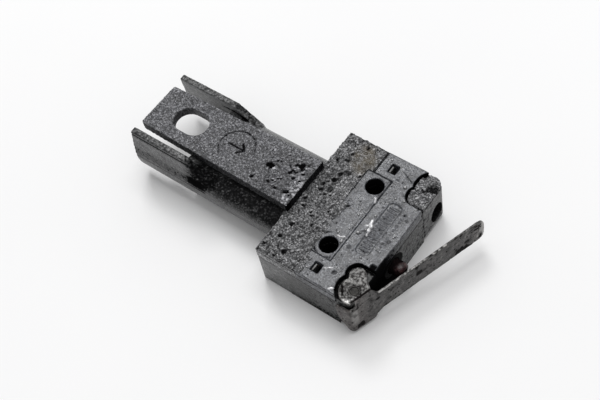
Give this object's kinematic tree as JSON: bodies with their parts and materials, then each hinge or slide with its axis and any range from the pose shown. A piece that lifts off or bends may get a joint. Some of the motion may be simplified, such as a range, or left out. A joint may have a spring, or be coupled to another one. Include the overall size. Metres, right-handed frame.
{
  "type": "limit switch",
  "caption": "Sub-miniature snap-action limit switch with a hinged steel lever, a sealed plunger, a forked cable sleeve and a slotted mounting plate.",
  "frame": {"origin": "midway between the two mounting holes, on the underside of the case", "axes": "+X from the cable sleeve to the plunger and lever, +Y along the case away from the lever's hinge, +Z out of the face with the mounting holes"},
  "size_m": [0.0433, 0.02, 0.0088],
  "materials": {
    "case_plastic": "satin moulded",
    "housing_plastic": "rough, soiled",
    "rubber": "matt",
    "epoxy": "gloss",
    "plunger_plastic": "satin",
    "spring_brass": "rolled",
    "contact_silver": "bright",
    "pin_steel": "drawn",
    "lever_steel": "tarnished"
  },
  "bodies": {
    "housing": {"case_base": "case_plastic", "case_cover": "case_plastic", "cover_gasket": "rubber", "hole_plate": "case_plastic", "rear_housing": "housing_plastic", "rear_cover": "housing_plastic", "mounting_plate": "housing_plastic", "potting_block": "epoxy", "cable_grommet": "rubber", "plunger_seal": "rubber", "seal_retainer": "case_plastic", "common_terminal": "spring_brass", "blade_anchor": "spring_brass", "closed_terminal": "spring_brass", "closed_contact": "contact_silver", "open_terminal": "spring_brass", "open_contact": "contact_silver", "hinge_pin": "pin_steel"},
    "lever": {"lever": "lever_steel"},
    "plunger": {"plunger": "plunger_plastic"},
    "blade": {"snap_blade": "spring_brass", "toggle_spring": "spring_brass", "moving_contact": "contact_silver"}
  },
  "joints": [
    {"name": "lever_hinge", "type": "hinge", "parent": "housing", "child": "lever", "pos_m": [0.00594, -0.00808, 0.0035], "axis": [0, 0, 1], "range_deg": [0, 10], "stiffness_Nm_per_rad": 0.02, "springref_deg": -11.46},
    {"name": "plunger_slide", "type": "slide", "parent": "housing", "child": "plunger", "axis": [-1, 0, 0], "range_m": [0, 0.00055]},
    {"name": "blade_hinge", "type": "hinge", "parent": "housing", "child": "blade", "pos_m": [0.00245, -0.0062, 0.00345], "axis": [0, 0, 1], "range_deg": [0, 3.01]}
  ],
  "couplings": [
    {"joint": "plunger_slide", "follows": "lever_hinge", "m_per_rad": 0.00315},
    {"joint": "blade_hinge", "follows": "lever_hinge", "ratio": 0.3}
  ]
}
